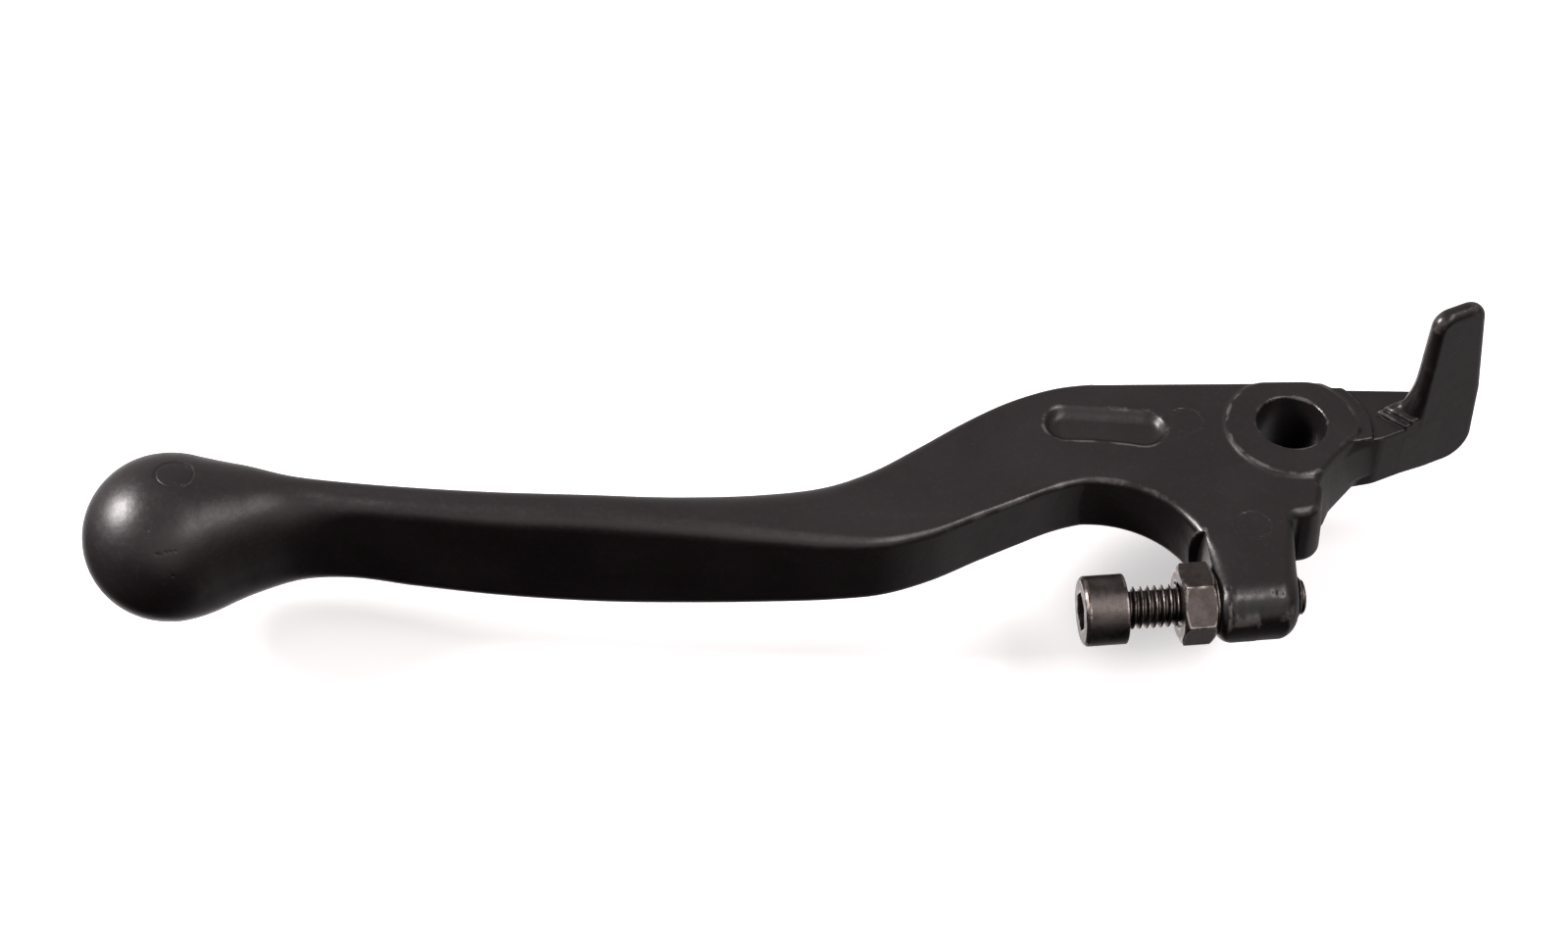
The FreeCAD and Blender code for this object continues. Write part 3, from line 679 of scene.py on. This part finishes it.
def coating():
    """Satin black paint over a blasted casting: fine peel, dull patches, thin polished edges, and
    outer edges lightened partly as rubbed paint and partly as a painted highlight.
    """
    black, softer_black = (0.0096, 0.0074, 0.0080), (0.0128, 0.0100, 0.0107)
    # rubbed is the light edge colour: partly worn paint, partly a painted highlight along the
    # edges.
    speck, rubbed = (0.019, 0.0155, 0.0165), (0.095, 0.086, 0.084)
    s = Shading("satin_black_coating")
    patches = s.noise(70, 4, 0.6)
    grain = s.noise(1500, 3, 0.6)
    peel = s.noise(420, 2, 0.5)
    scuffs = s.noise(160, 5, 0.7, (0.35, 1.6, 1.6))
    worn = s.wear(240, 4, 0.65, 0.38, 0.66, 0.15)
    paint = s.blend(s.spread(patches, 0.3, 0.7, 0, 1), black, softer_black)
    paint = s.blend(s.spread(grain, 0.55, 0.75, 0, 0.5), paint, speck)
    # Outer edges blend towards the rubbed colour: partly worn paint, partly a painted edge
    # highlight.
    paint = s.blend(s.spread(worn, 0.25, 1.0, 0, 0.85), paint, rubbed)
    s.link(paint, s.shader.inputs["Base Color"])
    dull = s.spread(patches, 0.3, 0.7, 0.31, 0.37)
    dull = s.math("ADD", dull, s.spread(grain, 0.4, 0.7, 0.0, 0.05))
    dull = s.math("ADD", dull, s.spread(scuffs, 0.56, 0.7, 0.0, 0.07))
    s.roughness(dull, worn, 0.15)
    s.shader.inputs["IOR"].default_value = 1.5
    s.bumps((peel, 0.000045), (grain, 0.000016))
    return s.material


def black_oxide():
    """Blackened steel: brown-black, oily, with turned and rolled marks, corners rubbed grey."""
    brown, grey_brown = (0.074, 0.062, 0.057), (0.114, 0.100, 0.095)
    rusty, pit, rubbed = (0.135, 0.092, 0.066), (0.05, 0.043, 0.04), (0.34, 0.31, 0.29)
    s = Shading("black_oxide_steel")
    blotches = s.noise(420, 4, 0.65)
    speckle = s.noise(3200, 3, 0.6)
    lines = s.noise(900, 3, 0.6, (4.0, 0.5, 0.5))
    rust = s.noise(260, 5, 0.7)
    steel = s.blend(s.spread(blotches, 0.35, 0.65, 0, 1), brown, grey_brown)
    steel = s.blend(s.spread(rust, 0.56, 0.72, 0, 0.55), steel, rusty)
    steel = s.blend(s.spread(speckle, 0.6, 0.8, 0, 0.6), steel, pit)
    worn = s.wear(700, 3, 0.6, 0.35, 0.65, 0.2)
    steel = s.blend(s.spread(worn, 0.2, 1.0, 0, 0.8), steel, rubbed)
    s.link(steel, s.shader.inputs["Base Color"])
    s.shader.inputs["Metallic"].default_value = 1.0
    dull = s.spread(blotches, 0.3, 0.7, 0.30, 0.42)
    dull = s.math("ADD", dull, s.spread(speckle, 0.4, 0.7, 0.0, 0.08))
    s.roughness(dull, worn, 0.08)
    s.bumps((lines, 0.000012), (speckle, 0.000008))
    return s.material


lever.data.materials.append(coating())
oxide = black_oxide()
screw.data.materials.append(oxide)
nut.data.materials.append(oxide)


# ---------------------------------------------------------------- stage, light and camera

FLOOR_Z, FLOOR_REACH = -0.02, 3
WARM_WHITE = (1.0, 0.94, 0.94, 1)
AIM = (-0.07, -0.01, 0.0)

bpy.context.scene.view_settings.view_transform = "Standard"


class RoomLight:
    """The world's node tree: a level of light worked out from the direction looked along."""

    def __init__(self):
        world = bpy.data.worlds.new("studio")
        bpy.context.scene.world = world
        world.use_nodes = True
        self.tree = world.node_tree
        self.background = self.tree.nodes["Background"]
        self.direction = self.tree.nodes.new("ShaderNodeTexCoord").outputs["Generated"]

    def lobe(self, axis, low, high, level):
        """Light that rises to the level as the direction's part along the axis goes low to high."""
        dot = self.tree.nodes.new("ShaderNodeVectorMath")
        dot.operation = "DOT_PRODUCT"
        dot.inputs[1].default_value = axis
        self.tree.links.new(self.direction, dot.inputs[0])
        ramp = self.tree.nodes.new("ShaderNodeMapRange")
        set_range(ramp, low, high, 0.0, level)
        self.tree.links.new(dot.outputs["Value"], ramp.inputs["Value"])
        return ramp.outputs["Result"]

    def join(self, kind, a, b):
        node = self.tree.nodes.new("ShaderNodeMath")
        node.operation = kind
        self.tree.links.new(a, node.inputs[0])
        self.tree.links.new(b, node.inputs[1])
        return node.outputs["Value"]


def studio_world():
    """A room bright above and behind, a glow in front, and a white table on the right."""
    room = RoomLight()
    above = room.lobe((0, 0.35, 1), -0.32, 0.35, 0.36)
    front = room.lobe((0.1, -0.85, 0.5), 0.78, 0.97, 0.60)
    below = room.lobe((0, 0, -1), -0.02, 0.35, 0.38)
    table = room.join("MULTIPLY", below, room.lobe((1, 1, 0), -0.38, 0.25, 1.0))
    sweep = room.lobe((-0.2, 0.63, -0.75), 0.86, 0.97, 1.3)
    level = room.join("ADD", room.join("ADD", above, front), room.join("ADD", table, sweep))
    room.tree.links.new(level, room.background.inputs["Strength"])
    room.background.inputs["Color"].default_value = WARM_WHITE


def pale_floor():
    """A white floor that the camera sees and the object's paint doesn't."""
    mesh = bpy.data.meshes.new("floor")
    corners = [(x * FLOOR_REACH, y * FLOOR_REACH, FLOOR_Z)
               for x, y in ((-1, -1), (1, -1), (1, 1), (-1, 1))]
    mesh.from_pydata(corners, [], [(0, 1, 2, 3)])
    floor = bpy.data.objects.new("floor", mesh)
    bpy.context.scene.collection.objects.link(floor)
    floor.visible_glossy = False
    floor.visible_diffuse = False
    floor.visible_shadow = False
    s = Shading("pale_floor")
    s.shader.inputs["Base Color"].default_value = (0.93, 0.93, 0.93, 1)
    s.shader.inputs["Roughness"].default_value = 0.9
    s.shader.inputs["Specular IOR Level"].default_value = 0.0
    s.shader.inputs["Emission Color"].default_value = (1, 1, 1, 1)
    s.shader.inputs["Emission Strength"].default_value = 0.4
    mesh.materials.append(s.material)


def softbox(name, direction, along, distance, width, length, radiance):
    """A soft rectangular light of the given radiance, its length laid along a direction."""
    data = bpy.data.lights.new(name, "AREA")
    data.shape = "RECTANGLE"
    data.size = width
    data.size_y = length
    data.energy = radiance * math.pi * width * length
    data.color = WARM_WHITE[:3]
    light = bpy.data.objects.new(name, data)
    toward = Vector(direction).normalized()
    long_axis = (Vector(along) - toward * toward.dot(Vector(along))).normalized()
    turn = Matrix((long_axis.cross(toward), long_axis, toward)).transposed()
    light.matrix_world = Matrix.Translation(Vector(AIM) + toward * distance) @ turn.to_4x4()
    light.visible_camera = False
    bpy.context.scene.collection.objects.link(light)


studio_world()
pale_floor()
softbox("overhead_strip", (0.43, -0.33, 0.84), (0, -1, 0), 0.9, 0.26, 0.75, 6.5)
softbox("left_softbox", (-0.82, 0.18, 0.54), (0, 1, 0), 0.68, 0.22, 0.24, 42.0)

camera_data = bpy.data.cameras.new("camera")
camera_data.lens = 59.84
camera_data.sensor_width = 36
camera = bpy.data.objects.new("camera", camera_data)
camera.location = (-0.09604, -0.25124, 0.27769)
camera.rotation_euler = (math.radians(42.514), 0, math.radians(-5.14))
bpy.context.scene.collection.objects.link(camera)
bpy.context.scene.camera = camera
